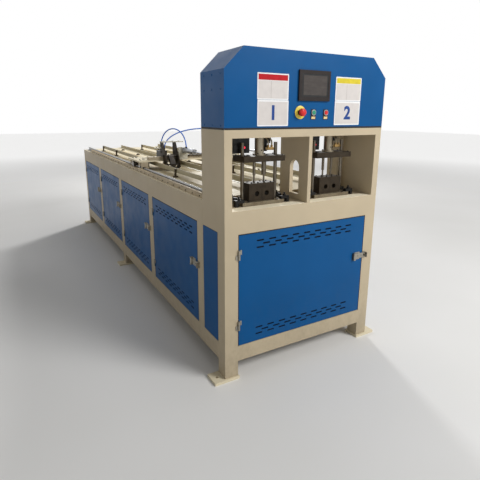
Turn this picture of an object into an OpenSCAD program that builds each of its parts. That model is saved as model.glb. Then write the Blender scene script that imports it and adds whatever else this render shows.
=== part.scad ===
// Tube punching machine with two punching stations and a long feeding bed
// The length runs along Y from the head at the front to the end posts at the back.
// X is zero on the centre plane and Z is zero on the floor.
// Inside the modules Y is counted from the front face of the head.

/* [Machine body] */
// Width of the head and the bed
body_w = 1050; // [1020:2:1120]
// Length from the head front to the end posts
body_len = 3967; // [3800:1:4200]
// Depth of the head
head_d = 262; // [258:1:280]
// Height of the head above the floor
head_h = 1735; // [1700:1:1800]
// Corner chamfer of the hood
hood_chamfer = 105; // [70:1:125]
// Sheet thickness of doors and panels
sheet_t = 2.5; // [2:0.5:4]
// Sheet thickness of the hood
hood_t = 3; // [2:0.5:5]

/* [Frame] */
// Width of the leg and post tubes
tube_w = 80; // [74:1:86]
// Width of the posts between two bays
bay_post_w = 95; // [88:1:105]
// Height of the lower rails above the floor
base_z = 104; // [90:1:120]
// Height of the lower rails
base_h = 100; // [90:1:110]
// Height of the lower front rail
front_rail_h = 90; // [80:1:96]
// Height of the underside of the bed top rails
rail_z = 832; // [820:1:845]
// Height of the underside of the head door lintel
lintel_z = 825; // [815:1:840]
// Height of the rail seats of the bed
bed_top = 968; // [960:1:975]
// Width of the bed top rails
top_rail_w = 90; // [86:1:94]
// Depth of the cross bearers along the bed
bearer_w = 60; // [50:1:80]
// Height of the cross bearers
bearer_h = 80; // [60:1:90]
// Thickness of the deck sheet
deck_t = 3; // [2:0.5:5]
// Thickness of the bay floor sheet
floor_t = 3; // [2:0.5:5]

/* [Feet] */
// Thickness of the foot plates
foot_t = 15; // [12:1:20]
// Length of a foot plate across the machine
foot_l = 150; // [140:1:165]
// Width of a foot plate along the machine
foot_w = 100; // [90:1:120]
// Distance of the anchor holes outside the body side
anchor_out = 31; // [28:1:36]
// Radius of the anchor holes
anchor_r = 9; // [7:0.5:12]

/* [Head] */
// Height of the underside of the table plate
table_z = 920; // [915:1:924]
// Thickness of the table plate
table_t = 30; // [26:1:34]
// Thickness of the outer head walls
wall_t = 43; // [36:1:48]
// Thickness of the wall between the stations
divider_t = 23; // [18:1:28]
// Distance of that wall from the centre plane
divider_x = -1.5; // [-6:0.5:6]
// Clear height of the two windows
window_h = 362; // [355:1:375]
// Thickness of the crown plate
crown_t = 43; // [38:1:50]
// Depth of the rear columns
column_d = 95; // [80:1:105]
// Width of the arched passage in the middle wall
arch_w = 84; // [70:1:94]
// Height of the passage sill above the table
arch_sill = 36; // [24:1:44]
// Height of the passage from its sill to the crest
arch_h = 191; // [180:1:205]

/* [Doors] */
// Gap round doors and panels
door_gap = 3; // [2:0.5:4]
// Depth of the folded door edges
door_depth = 20; // [16:1:26]
// Height of a door hinge
hinge_h = 52; // [46:1:60]
// Radius of the hinge barrels
hinge_r = 6; // [5.5:0.1:6.5]
// Radius of the hinge pins
pin_r = 3; // [2.5:0.1:3.2]
// Thickness of the hinge leaves
leaf_t = 3; // [2.5:0.1:3.2]
// Width of the hinge leaves
leaf_l = 15.5; // [13:0.5:18]
// Height of the lower hinges above the floor
hinge_low = 292; // [270:1:320]
// Height of the upper hinges above the floor
hinge_high = 692; // [660:1:720]
// Height of the latches above the floor
latch_z = 573; // [540:1:600]
// Length of the vent slots
vent_l = 46; // [38:1:52]
// Height of the vent slots
vent_h = 9; // [6:1:11]
// Distance from one vent slot to the next
vent_pitch = 78; // [70:1:80]
// Distance between the rows of vent slots
vent_row = 19; // [16:1:22]
// Distance of the outer vent row from the panel edge
vent_edge = 50; // [40:1:60]
// The same distance on the head door
front_vent_edge = 42; // [36:1:50]

/* [Operator panel] */
// Width of the screen housing
screen_w = 204; // [190:1:220]
// Height of the screen housing
screen_h = 152; // [140:1:165]
// Height of the underside of the screen housing
screen_z = 1494; // [1485:1:1510]
// Depth of the screen housing
screen_t = 10; // [6:1:16]
// Height of the row of buttons
button_z = 1436; // [1425:1:1445]
// Travel of the start and stop buttons
button_travel = 4; // [3:0.5:5]
// Radius of the start and stop buttons
button_r = 11; // [9:0.5:12]
// Radius of the emergency stop head
estop_r = 20; // [17:0.5:24]
// Radius of the yellow emergency stop disc
estop_disc_r = 34; // [28:1:38]

/* [Stations] */
// Distance of the first station from the left body side
station_a_in = 279; // [276:1:282]
// Distance of the second station from the right body side
station_b_in = 291; // [288:1:294]
// Distance of the station axis from the head front
station_y = 131; // [128:1:134]
// Half distance of the two punches of one station
punch_off = 31; // [28:0.5:34]
// Radius of the punches
punch_r = 5; // [4:0.5:6]
// Height of the tube axis above the table
tube_z = 60; // [56:1:64]
// Radius of the tube bores in the die blocks
tube_r = 14; // [12:0.5:16]
// Radius of the slug holes below the dies
slug_r = 7; // [6.5:0.5:9]
// Width of one die block
die_w = 80; // [74:1:86]
// Depth of the die blocks
die_d = 70; // [60:1:80]
// Height of the die blocks
die_h = 97; // [92:1:104]
// Thickness of the die shoes
shoe_t = 20; // [16:1:24]
// Half width of the die shoes
shoe_half = 132; // [128:1:138]
// Depth of the die shoes
shoe_d = 112; // [100:1:120]
// Distance of the guide pillars from the station axis
pillar_off = 105; // [102:1:108]
// Radius of the guide pillars
pillar_r = 10; // [8:0.5:11]
// Height of the guide pillars above the shoe
pillar_h = 310; // [300:1:320]
// Half width of the platens
platen_half = 128; // [122:1:134]
// Depth of the platens
platen_d = 122; // [110:1:130]
// Thickness of the platens
platen_t = 30; // [26:1:34]
// Height of the platens above the table when raised
platen_up = 233; // [230:1:238]
// Punching stroke
stroke = 36; // [34:1:37]
// Length of the strap clamps
clamp_l = 53; // [48:1:56]
// Radius of the ram rods
ram_r = 25; // [22:0.5:28]
// Radius of the hydraulic cylinders
cyl_r = 55; // [50:1:62]
// Length of the hydraulic cylinders
cyl_h = 290; // [270:1:310]

/* [Inside the cabinets] */
// Width of the oil tank
tank_w = 520; // [440:10:560]
// Length of the oil tank
tank_l = 520; // [480:10:560]
// Height of the oil tank
tank_h = 330; // [280:10:350]
// Distance of the oil tank from the front of its bay
tank_in = 120; // [100:5:150]
// Radius of the pump motor over its fins
motor_r = 75; // [65:1:85]
// Length of the pump motor
motor_l = 260; // [220:5:280]
// Width of the control box
box_w = 500; // [400:10:600]
// Length of the control box
box_l = 550; // [450:10:600]
// Height of the control box
box_h = 480; // [400:10:560]
// Distance of the control box from the front of its bay
box_in = 130; // [100:5:150]

/* [Bed top] */
// Radius of the round guide rails
rail_r = 10; // [9:0.5:10]
// Distance of the round rails from the body side
rail_in = 60; // [58:1:62]
// Height of the round rail axis above its seat
rail_up = 27; // [26:0.5:28]
// Width of the rail foot
rail_foot = 45; // [40:1:46]
// Tooth module of the gear rack
gear_m = 3; // [3]
// Width of the gear rack
rack_w = 20; // [18:1:20]
// Distance of the gear rack from the body side
rack_in = 15; // [12:1:16]
// Number of rack teeth in front of the pinion
rack_front = 149; // [110:1:149]
// Number of rack teeth behind the pinion
rack_back = 198; // [192:1:206]
// Half width of a tube lane between the guide angles
lane_half = 63; // [62:1:66]
// Distance of the upright angle legs from the lane axis
angle_half = 108; // [104:1:112]
// Height of the underside of the guide angles above the deck
angle_up = 33; // [31:1:34]
// Height of the upright legs
angle_h = 32; // [28:1:34]
// Sheet thickness of the guide angles
angle_t = 3; // [2:0.5:4]
// Front end of the guide angles
angle_y = 380; // [370:1:400]
// Length of the guide angles
angle_len = 3200; // [3100:1:3240]
// Radius of the guide posts
guide_post_r = 8; // [6:0.5:9]

/* [Carriage] */
// Distance of the carriage front from the head front
carriage_y = 1522; // [1500:1:1540]
// Length of the carriage plate along the bed
carriage_len = 328; // [310:1:340]
// Distance of the carriage plate from the body side
carriage_in = 20; // [14:1:26]
// Thickness of the carriage plate
carriage_t = 12; // [10:1:16]
// Height of the carriage plate above the rail seats
carriage_up = 77; // [76:1:80]
// Size of the front beam along the bed
beam_d = 60; // [50:1:70]
// Height of the front beam
beam_h = 25; // [20:1:30]
// Number of pinion teeth
pinion_teeth = 15; // [15]
// Width of the pinion
pinion_w = 18; // [16:1:18]
// Radius of the pinion shaft
shaft_r = 8; // [7:0.5:8]
// Distance of the grip cylinder from the axis of the first station
grip_x = 109; // [106:1:112]
// Height of the grip cylinder above the rock shaft
crank_l = 45; // [43:1:48]
// Radius of the grip cylinder
grip_r = 22; // [19:1:24]
// Length of the grip cylinder
grip_l = 212; // [200:1:220]
// Length of the grip rod in front of its cylinder
grip_rod_l = 140; // [120:1:150]
// Outer radius of the air hoses
hose_r = 5; // [4:0.5:6]

/* [Clearances] */
// Gap between a shaft and its bore
run_gap = 0.05; // [0.03:0.01:0.08]
// Gap between parts that pass close by each other
part_gap = 0.5; // [0.4:0.1:1]
// Play between the gear teeth
backlash = 0.35; // [0.3:0.05:0.45]

/* [Hidden] */
$fn = 48;
half_w = body_w / 2;
base_top = base_z + base_h;
table_top = table_z + table_t;
crown_z = table_top + window_h;
crown_top = crown_z + crown_t;
deck_z = bed_top + 4;
deck_top = deck_z + deck_t;
deck_half = half_w - top_rail_w;
inner_half = half_w - tube_w;
bay_len = (body_len - head_d - 2 * tube_w - 3 * bay_post_w) / 4;
bay_pitch = bay_len + bay_post_w;
bay_y = head_d + tube_w;
mid_foot_y = bay_y + 2 * bay_pitch - bay_post_w / 2;
end_foot_y = body_len - tube_w / 2;
front_foot_y = tube_w / 2;
station_a = -half_w + station_a_in;
station_b = half_w - station_b_in;
shoe_top = table_top + shoe_t;
tube_axis_z = table_top + tube_z;
platen_z = table_top + platen_up;
door_w = bay_len - 2 * door_gap;
door_z = base_top + door_gap;
door_h = rail_z - base_top - 2 * door_gap;
front_door_w = 2 * inner_half - 2 * door_gap;
front_door_z = base_z + front_rail_h + door_gap;
front_door_h = lintel_z - front_door_z - door_gap;
hinge_x = -door_gap / 2;
hinge_y = -hinge_r - part_gap;
latch_h = 47;
latch_pin = 72;
latch_pin_r = 2.5;
latch_pin_y = -11;
rail_x = half_w - rail_in;
rail_axis_z = bed_top + rail_up;
plate_z = bed_top + carriage_up;
carriage_half = half_w - carriage_in;
rack_pitch = PI * gear_m;
pitch_z = bed_top + 27;
pinion_r = gear_m * pinion_teeth / 2;
pinion_z = pitch_z + pinion_r;
pinion_y = carriage_y + 168;
gear_add = 0.8 * gear_m;
gear_ded = gear_m;
rack_x = -half_w + rack_in + rack_w / 2;
web_x = -rail_x + 26;
shaft_y = carriage_y - 22;
shaft_z = plate_z + 45;
jaw_y = carriage_y - 74;
cheek_in = 50;
cheek_out = 58;
barrel_z = shaft_z + crank_l;
barrel_x = station_a + grip_x;
hose_gap = 0.4;

// Moves the local length, counted from the head front, to the centre of the anchor holes
module on_machine()
{
    translate([0, -body_len / 2, 0])
    children();
}

// Block between two corners
module block(x0, x1, y0, y1, z0, z1)
{
    translate([x0, y0, z0])
    cube([x1 - x0, y1 - y0, z1 - z0]);
}

// The same block on the left and on the right side of the machine
module block_pair(x0, x1, y0, y1, z0, z1)
{
    block(-x1, -x0, y0, y1, z0, z1);
    block(x0, x1, y0, y1, z0, z1);
}

// Round bar or bore along Y
module bar_y(x, z, r, y0, y1)
{
    translate([x, y0, z])
    rotate([-90, 0, 0])
    cylinder(h = y1 - y0, r = r);
}

// Round bar or bore along X
module bar_x(y, z, r, x0, x1)
{
    translate([x0, y, z])
    rotate([0, 90, 0])
    cylinder(h = x1 - x0, r = r);
}

// Upright round bar or bore
module bar_z(x, y, r, z0, z1)
{
    translate([x, y, z0])
    cylinder(h = z1 - z0, r = r);
}

// Children repeated at both stations
module at_stations()
{
    for (x = [station_a, station_b])
    translate([x, 0, 0])
    children();
}

// Profile in the Y and Z plane, drawn out along X
module side_plate(points, x0, x1)
{
    translate([x0, 0, 0])
    rotate([90, 0, 90])
    linear_extrude(height = x1 - x0)
    polygon(points);
}

// One foot plate with its anchor hole, on the left side
module foot_plate(y)
{
    difference()
    {
        block(-half_w + 85 - foot_l, -half_w + 85, y - foot_w / 2, y + foot_w / 2, 0, foot_t);
        bar_z(-half_w - anchor_out, y, anchor_r, -1, foot_t + 1);
    }
}

module foot_plates()
{
    color([0.74, 0.69, 0.59])
    on_machine()
    for (y = [front_foot_y, mid_foot_y, end_foot_y])
    {
        foot_plate(y);
        mirror([1, 0, 0])
        foot_plate(y);
    }
}

module frame_posts()
{
    color([0.74, 0.69, 0.59])
    on_machine()
    {
        block_pair(inner_half, half_w, 0, tube_w, foot_t, table_z);
        for (y = [mid_foot_y, end_foot_y])
        block_pair(inner_half, half_w, y - tube_w / 2, y + tube_w / 2, foot_t, base_z);
        block_pair(inner_half, half_w, head_d, bay_y, base_top, rail_z);
        for (i = [1:3])
        block_pair(inner_half, half_w, bay_y + i * bay_pitch - bay_post_w, bay_y + i * bay_pitch,
            base_top, rail_z);
        block_pair(inner_half, half_w, body_len - tube_w, body_len, base_top, rail_z);
        block_pair(deck_half + part_gap, half_w - wall_t, head_d, head_d + column_d,
            bed_top, crown_top);
    }
}

module side_rails()
{
    color([0.74, 0.69, 0.59])
    on_machine()
    {
        block_pair(inner_half, half_w, tube_w, body_len, base_z, base_top);
        block_pair(inner_half, half_w, tube_w, head_d - 1, rail_z, table_z);
        block_pair(deck_half, half_w, head_d, body_len, rail_z, bed_top);
    }
}

module cross_rails()
{
    color([0.74, 0.69, 0.59])
    on_machine()
    {
        block(-inner_half, inner_half, 0, tube_w, base_z, base_z + front_rail_h);
        block(-inner_half, inner_half, 0, tube_w, lintel_z, table_z);
        block(-inner_half, inner_half, head_d - 60, head_d - 1, rail_z, table_z);
        block(-inner_half, inner_half, end_foot_y - tube_w / 2, body_len, base_z, base_top);
        block(-deck_half, deck_half, end_foot_y - tube_w / 2, body_len, rail_z, deck_z);
        for (i = [0:3])
        block(-deck_half, deck_half, bay_y + i * bay_pitch - bearer_w - 10,
            bay_y + i * bay_pitch - 10, deck_z - bearer_h, deck_z);
        for (y = [head_d + 10, bay_y + bay_pitch / 2, bay_y + bay_pitch * 1.5, mid_foot_y - 30])
        block(-inner_half, inner_half, y, y + 60, base_top - 60, base_top);
    }
}

// Slug holes of both stations
module slug_holes(r, z0, z1)
{
    at_stations()
    for (s = [-1, 1])
    bar_z(s * punch_off, station_y, r, z0, z1);
}

module table_plate()
{
    color([0.72, 0.70, 0.66])
    on_machine()
    difference()
    {
        block(-half_w, half_w, 0, head_d, table_z, table_top);
        slug_holes(slug_r + 2, table_z - 1, table_top + 1);
    }
}

// Arched passage between the two stations, seen along X
module arch_cut()
{
    crest = table_top + arch_sill + arch_h - arch_w / 2;
    block(divider_x - divider_t, divider_x + divider_t, station_y - 8 - arch_w / 2,
        station_y - 8 + arch_w / 2, table_top + arch_sill, crest);
    bar_x(station_y - 8, crest, arch_w / 2, divider_x - divider_t, divider_x + divider_t);
}

module head_walls()
{
    color([0.74, 0.69, 0.59])
    on_machine()
    {
        block_pair(half_w - wall_t, half_w, 0, head_d, table_top, crown_z);
        difference()
        {
            block(divider_x - divider_t / 2, divider_x + divider_t / 2, 0, head_d,
                table_top, crown_z);
            arch_cut();
        }
    }
}

module head_crown()
{
    color([0.74, 0.69, 0.59])
    on_machine()
    difference()
    {
        block(-half_w, half_w, 0, head_d, crown_z, crown_top);
        at_stations()
        bar_z(0, station_y, ram_r + run_gap, crown_z - 1, crown_top + 1);
    }
}

// Outline of the hood, set in by a sheet thickness
module hood_profile(inset)
{
    slant = inset * (sqrt(2) - 1);
    w = half_w - inset;
    polygon([[-w, crown_top - (inset > 0 ? 1 : 0)], [w, crown_top - (inset > 0 ? 1 : 0)],
        [w, head_h - hood_chamfer - slant], [half_w - hood_chamfer - slant, head_h - inset],
        [-half_w + hood_chamfer + slant, head_h - inset], [-w, head_h - hood_chamfer - slant]]);
}

module hood()
{
    color([0.11, 0.36, 0.61])
    on_machine()
    difference()
    {
        translate([0, head_d - hood_t, 0])
        rotate([90, 0, 0])
        linear_extrude(height = head_d - hood_t)
        hood_profile(0);
        translate([0, head_d, 0])
        rotate([90, 0, 0])
        linear_extrude(height = head_d - hood_t)
        hood_profile(hood_t);
        for (x = button_xs)
        bar_y(x, button_z, button_r + 1.5, -1, hood_t + 1);
    }
}

// Vent slots of one row
module vent_slots(w, z, n)
{
    for (i = [0:n - 1])
    translate([w / 2 + (i - (n - 1) / 2) * vent_pitch, z])
    {
        square([vent_l - vent_h, vent_h], center = true);
        for (s = [-1, 1])
        translate([s * (vent_l - vent_h) / 2, 0])
        circle(d = vent_h);
    }
}

// Sheet pan with folded edges, face on Y zero, vents at the distance vents from its edges
module pan(w, h, vents)
{
    translate([0, sheet_t, 0])
    rotate([90, 0, 0])
    linear_extrude(height = sheet_t)
    difference()
    {
        square([w, h]);
        if (vents > 0)
        for (z = [vents, h - vents - 2 * vent_row])
        {
            vent_slots(w, z, 9);
            vent_slots(w, z + vent_row, 8);
            vent_slots(w, z + 2 * vent_row, 9);
        }
    }
    difference()
    {
        translate([0, sheet_t, 0])
        cube([w, door_depth - sheet_t, h]);
        translate([sheet_t, 0, sheet_t])
        cube([w - 2 * sheet_t, door_depth + 1, h - 2 * sheet_t]);
    }
}

// Spacer lugs between a fixed panel and the frame
module lugs(w, h)
{
    for (x = [-door_gap, w], z = [h / 4, 3 * h / 4])
    translate([x, door_depth - 12, z])
    cube([door_gap, 10, 30]);
}

module fixed_panel(w, h, vents)
{
    pan(w, h, vents);
    lugs(w, h);
}

module fixed_panels()
{
    narrow = head_d - tube_w - 2 * door_gap;
    color([0.11, 0.36, 0.61])
    on_machine()
    {
        translate([-half_w, head_d - door_gap, door_z])
        rotate([0, 0, -90])
        fixed_panel(narrow, door_h, 0);
        translate([half_w, tube_w + door_gap, door_z])
        rotate([0, 0, 90])
        fixed_panel(narrow, door_h, 0);
        for (i = [0:3])
        translate([half_w, bay_y + i * bay_pitch + door_gap, door_z])
        rotate([0, 0, 90])
        fixed_panel(door_w, door_h, vent_edge);
        translate([inner_half - door_gap, body_len, door_z])
        rotate([0, 0, 180])
        fixed_panel(front_door_w, door_h, 0);
        translate([0, head_d, 0])
        rotate([90, 0, 0])
        linear_extrude(height = hood_t)
        hood_profile(0);
    }
}

module bed_deck()
{
    color([0.98, 0.94, 0.84])
    on_machine()
    {
        block(-deck_half, deck_half, head_d + 1, body_len, deck_z, deck_top);
        block(-inner_half, inner_half, head_d + 10, mid_foot_y + 30, base_top, base_top + floor_t);
    }
}

module hmi_panel()
{
    x0 = -half_w + 426;
    color([0.29, 0.27, 0.25])
    on_machine()
    difference()
    {
        block(x0, x0 + screen_w, -screen_t, 0, screen_z, screen_z + screen_h);
        block(x0 + 18, x0 + screen_w - 13, -screen_t - 1, -screen_t + 1.5,
            screen_z + 20, screen_z + screen_h - 18);
    }
}

// Places of the emergency stop, the start and the stop button
button_xs = [-83, 4.5, 88];
collar_l = 5;
estop_collar_l = 9;

module button_collars()
{
    color([0.10, 0.10, 0.10])
    on_machine()
    {
        difference()
        {
            union()
            {
                bar_y(button_xs[0], button_z, estop_disc_r, -2, 0);
                bar_y(button_xs[0], button_z, 15, -estop_collar_l, -1);
            }
            bar_y(button_xs[0], button_z, button_r + run_gap, -estop_collar_l - 1, 1);
        }
        for (i = [1, 2])
        difference()
        {
            union()
            {
                bar_y(button_xs[i], button_z, 15, -collar_l, -1);
                block(button_xs[i] - 16, button_xs[i] + 16, -2, 0, button_z - 36, button_z + 17);
            }
            bar_y(button_xs[i], button_z, button_r + run_gap, -collar_l - 1, 1);
        }
    }
}

module estop_button()
{
    color([0.82, 0.10, 0.10])
    on_machine()
    {
        bar_y(button_xs[0], button_z, button_r, -16, 14);
        translate([button_xs[0], 0, button_z])
        rotate([90, 0, 0])
        rotate_extrude()
        polygon([[0, 14], [estop_r - 4, 14], [estop_r, 18], [estop_r, 27],
            [estop_r - 3, 32], [estop_r - 9, 35], [0, 36]]);
    }
}

module push_button(x)
{
    bar_y(x, button_z, button_r, -collar_l - button_travel, 14);
}

module start_button()
{
    color([0.15, 0.55, 0.42])
    on_machine()
    push_button(button_xs[1]);
}

module stop_button()
{
    color([0.82, 0.20, 0.16])
    on_machine()
    push_button(button_xs[2]);
}

// Half of a hinge that stays on the frame, with the pin
module hinge_fixed(z)
{
    bar_z(hinge_x, hinge_y, hinge_r, z, z + hinge_h / 2);
    bar_z(hinge_x, hinge_y, pin_r, z, z + hinge_h);
    block(hinge_x - 2 - leaf_l, hinge_x - 2, -leaf_t, 0, z, z + hinge_h / 2);
}

// Half of a hinge that turns with the door
module hinge_moving(z)
{
    z0 = z + hinge_h / 2 + part_gap;
    difference()
    {
        union()
        {
            bar_z(hinge_x, hinge_y, hinge_r, z0, z + hinge_h);
            block(hinge_x + 2, hinge_x + 2 + leaf_l, -leaf_t, 0, z0, z + hinge_h);
        }
        bar_z(hinge_x, hinge_y, pin_r + run_gap, z0 - 1, z + hinge_h + 1);
    }
}

// Base of a latch near the free edge of a door of width w
module latch_base(w)
{
    x = w - latch_pin;
    z0 = latch_z - latch_h / 2;
    block(x - 7, x + 50, -3, 0, z0, z0 + latch_h);
    for (z = [z0, z0 + latch_h - 5])
    block(x - 7, x + 7, latch_pin_y - 7, -2, z, z + 5);
    bar_z(x, latch_pin_y, latch_pin_r, z0, z0 + latch_h);
}

// Strap of a latch, turning about its pin
module latch_strap(w)
{
    x = w - latch_pin;
    z0 = latch_z - latch_h / 2 + 5 + part_gap;
    z1 = latch_z + latch_h / 2 - 5 - part_gap;
    difference()
    {
        union()
        {
            bar_z(x, latch_pin_y, 6, z0, z1);
            block(x, w + 27, -7.5, -4.5, latch_z - 16, latch_z + 16);
            block(w + 24, w + 27, -20, -4.5, latch_z - 16, latch_z + 16);
        }
        bar_z(x, latch_pin_y, latch_pin_r + run_gap, z0 - 1, z1 + 1);
        block(w + 7, w + 23, -9, -3, latch_z - 10, latch_z + 10);
    }
}

// Staple of a latch on the frame, between its two lugs
module latch_staple(w)
{
    block(w + 12.5, w + 17.5, -14, 0, latch_z - 5, latch_z + 5);
    for (z = [latch_z - 20, latch_z + 6])
    block(w + door_gap + 3, w + 28, -3, 0, z, z + 14);
}

// Fixed hinge halves and staple of one door
module door_fixture(w)
{
    hinge_fixed(hinge_low);
    hinge_fixed(hinge_high);
    latch_staple(w);
}

// Door leaf with its moving hinge halves and latch base
module door_leaf(w, z, h, vents)
{
    translate([0, 0, z])
    pan(w, h, vents);
    hinge_moving(hinge_low);
    hinge_moving(hinge_high);
    latch_base(w);
}

// Frame of the head door, with its hinges on the left
module at_head_door()
{
    translate([-inner_half + door_gap, 0, 0])
    children();
}

// Frame of a bed door, with its hinges at the far edge of the bay
module at_bed_door(i)
{
    translate([-half_w, bay_y + i * bay_pitch + bay_len - door_gap, 0])
    rotate([0, 0, -90])
    children();
}

module door_fittings()
{
    color([0.78, 0.78, 0.78])
    on_machine()
    {
        at_head_door()
        door_fixture(front_door_w);
        for (i = [0:3])
        at_bed_door(i)
        door_fixture(door_w);
    }
}

module head_door()
{
    color([0.11, 0.36, 0.61])
    on_machine()
    at_head_door()
    door_leaf(front_door_w, front_door_z, front_door_h, front_vent_edge);
}

module head_latch()
{
    color([0.78, 0.78, 0.78])
    on_machine()
    at_head_door()
    latch_strap(front_door_w);
}

module bed_door(i)
{
    color([0.11, 0.36, 0.61])
    on_machine()
    at_bed_door(i)
    door_leaf(door_w, door_z, door_h, vent_edge);
}

module bed_latch(i)
{
    color([0.78, 0.78, 0.78])
    on_machine()
    at_bed_door(i)
    latch_strap(door_w);
}

// Outline of the rack with n teeth, starting and ending in the middle of a gap
function rack_teeth(n) = [for (k = [0:n - 1], p = [
    [-rack_pitch / 4 - gear_ded * tan(20), -gear_ded],
    [-rack_pitch / 4 + gear_add * tan(20), gear_add],
    [rack_pitch / 4 - gear_add * tan(20), gear_add],
    [rack_pitch / 4 + gear_ded * tan(20), -gear_ded]])
    [(k + 0.5) * rack_pitch + p[0], p[1]]];

// Piece of rack that starts at tooth number first, counted from the pinion
module rack_piece(first, n)
{
    y0 = pinion_y + first * rack_pitch;
    len = n * rack_pitch;
    side_plate([for (p = concat([[part_gap / 2, bed_top - pitch_z], [part_gap / 2, -gear_ded]],
        rack_teeth(n), [[len - part_gap / 2, -gear_ded], [len - part_gap / 2, bed_top - pitch_z]]))
        [y0 + p[0], pitch_z + p[1]]], rack_x - rack_w / 2, rack_x + rack_w / 2);
}

module gear_rack()
{
    n = floor((rack_front + rack_back) / 3);
    color([0.45, 0.44, 0.42])
    on_machine()
    {
        rack_piece(-rack_front, n);
        rack_piece(-rack_front + n, n);
        rack_piece(-rack_front + 2 * n, rack_front + rack_back - 2 * n);
    }
}

// Round rail on its foot, drawn at the left side
module supported_rail(x)
{
    translate([x, body_len - 60, bed_top])
    rotate([90, 0, 0])
    linear_extrude(height = body_len - 60 - head_d - column_d - 3)
    {
        translate([-rail_foot / 2, 0])
        square([rail_foot, 5]);
        translate([-6, 0])
        square([12, rail_up - 4]);
        translate([0, rail_up])
        circle(r = rail_r);
    }
}

module supported_rails()
{
    color([0.72, 0.73, 0.74])
    on_machine()
    {
        supported_rail(-rail_x);
        supported_rail(rail_x);
    }
}

module guide_angles()
{
    z = deck_top + angle_up;
    color([0.98, 0.94, 0.84])
    on_machine()
    at_stations()
    for (s = [-1, 1])
    translate([0, angle_y + angle_len, z])
    rotate([90, 0, 0])
    linear_extrude(height = angle_len)
    polygon([[s * lane_half, 0], [s * (angle_half + angle_t), 0],
        [s * (angle_half + angle_t), angle_h], [s * angle_half, angle_h],
        [s * angle_half, angle_t], [s * lane_half, angle_t]]);
}

module guide_posts()
{
    x = angle_half + angle_t + guide_post_r;
    z = deck_top + angle_up;
    color([0.80, 0.78, 0.72])
    on_machine()
    at_stations()
    for (s = [-1, 1], f = [0.0125, 0.22, 0.5, 0.78, 0.9875])
    translate([s * x, angle_y + f * angle_len, 0])
    {
        bar_z(0, 0, guide_post_r, deck_top, z + angle_h - 4);
        bar_z(0, 0, 20, deck_top, deck_top + 8);
        bar_x(0, z + angle_h / 2, 5, s > 0 ? -guide_post_r : 0, s > 0 ? 0 : guide_post_r);
    }
}

module die_shoes()
{
    color([0.55, 0.50, 0.45])
    on_machine()
    difference()
    {
        at_stations()
        block(-shoe_half, shoe_half, station_y - shoe_d / 2, station_y + shoe_d / 2,
            table_top, shoe_top);
        slug_holes(slug_r + 1, table_top - 1, shoe_top + 1);
    }
}

module die_blocks()
{
    color([0.24, 0.20, 0.18])
    on_machine()
    at_stations()
    for (s = [-1, 1])
    difference()
    {
        block(s > 0 ? part_gap : -part_gap - die_w, s > 0 ? part_gap + die_w : -part_gap,
            station_y - die_d / 2, station_y + die_d / 2, shoe_top, shoe_top + die_h);
        bar_y(s * punch_off, tube_axis_z, tube_r, station_y - die_d, station_y + die_d);
        bar_z(s * punch_off, station_y, punch_r + run_gap, tube_axis_z, shoe_top + die_h + 1);
        bar_z(s * punch_off, station_y, slug_r, shoe_top - 1, tube_axis_z);
    }
}

module guide_pillars()
{
    color([0.62, 0.62, 0.62])
    on_machine()
    at_stations()
    for (s = [-1, 1])
    bar_z(s * pillar_off, station_y, pillar_r, shoe_top, shoe_top + pillar_h);
}

// Children repeated at the four clamps of each station
module at_clamps()
{
    at_stations()
    for (s = [0, 1], y = [station_y - 38, station_y + 38])
    mirror([s, 0, 0])
    translate([pillar_off + pillar_r + 3, y, 0])
    children();
}

module die_clamps()
{
    color([0.09, 0.09, 0.09])
    on_machine()
    at_clamps()
    difference()
    {
        union()
        {
            block(0, clamp_l, -12, 12, shoe_top, shoe_top + 15);
            block(clamp_l - 16, clamp_l, -12, 12, table_top, shoe_top + 1);
        }
        bar_z(28, 0, 5.5, table_top, shoe_top + 16);
    }
}

module clamp_studs()
{
    color([0.14, 0.14, 0.14])
    on_machine()
    at_clamps()
    translate([28, 0, 0])
    {
        bar_z(0, 0, 5, table_top, shoe_top + 34);
        translate([0, 0, shoe_top + 15])
        cylinder(h = 9, r = 10, $fn = 6);
    }
}

module cylinders()
{
    color([0.30, 0.30, 0.31])
    on_machine()
    at_stations()
    difference()
    {
        union()
        {
            bar_z(0, station_y, cyl_r, crown_top, crown_top + cyl_h);
            block(-cyl_r - 8, cyl_r + 8, station_y - cyl_r - 8, station_y + cyl_r + 8,
                crown_top, crown_top + 30);
        }
        bar_z(0, station_y, ram_r + run_gap, crown_top - 1, crown_top + 30);
        bar_z(0, station_y, cyl_r - 10, crown_top + 25, crown_top + cyl_h - 20);
    }
}

module station_valves()
{
    color([0.08, 0.08, 0.08])
    on_machine()
    at_stations()
    {
        block(-150, -50, station_y + 19, station_y + 99, crown_z - 88, crown_z);
        block(42, 86, station_y + 24, station_y + 84, crown_z - 40, crown_z);
        bar_z(64, station_y + 54, 18, crown_z - 84, crown_z - 39);
    }
}

// Platen with the bores of its guide pillars
module platen()
{
    difference()
    {
        block(-platen_half, platen_half, station_y - platen_d / 2, station_y + platen_d / 2,
            platen_z, platen_z + platen_t);
        for (s = [-1, 1])
        bar_z(s * pillar_off, station_y, pillar_r + run_gap, platen_z - 1,
            platen_z + platen_t + 1);
    }
}

// Punch with its holder, hanging under the platen
module punch(holder_r)
{
    bar_z(0, station_y, punch_r, tube_axis_z + tube_r + 4, platen_z);
    bar_z(0, station_y, holder_r, shoe_top + die_h + 39, platen_z);
}

// Ram rod with its foot flange and the piston inside the cylinder
module ram()
{
    foot_z = platen_z + platen_t;
    difference()
    {
        union()
        {
            bar_z(0, station_y, ram_r + 10, foot_z, foot_z + 8);
            bar_z(0, station_y, ram_r, foot_z, crown_top + cyl_h - 50);
            bar_z(0, station_y, cyl_r - 10 - 0.1, crown_top + cyl_h - 60, crown_top + cyl_h - 30);
        }
        bar_y(0, foot_z + 27, 4, station_y - ram_r - 1, station_y - 8);
    }
}

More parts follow.
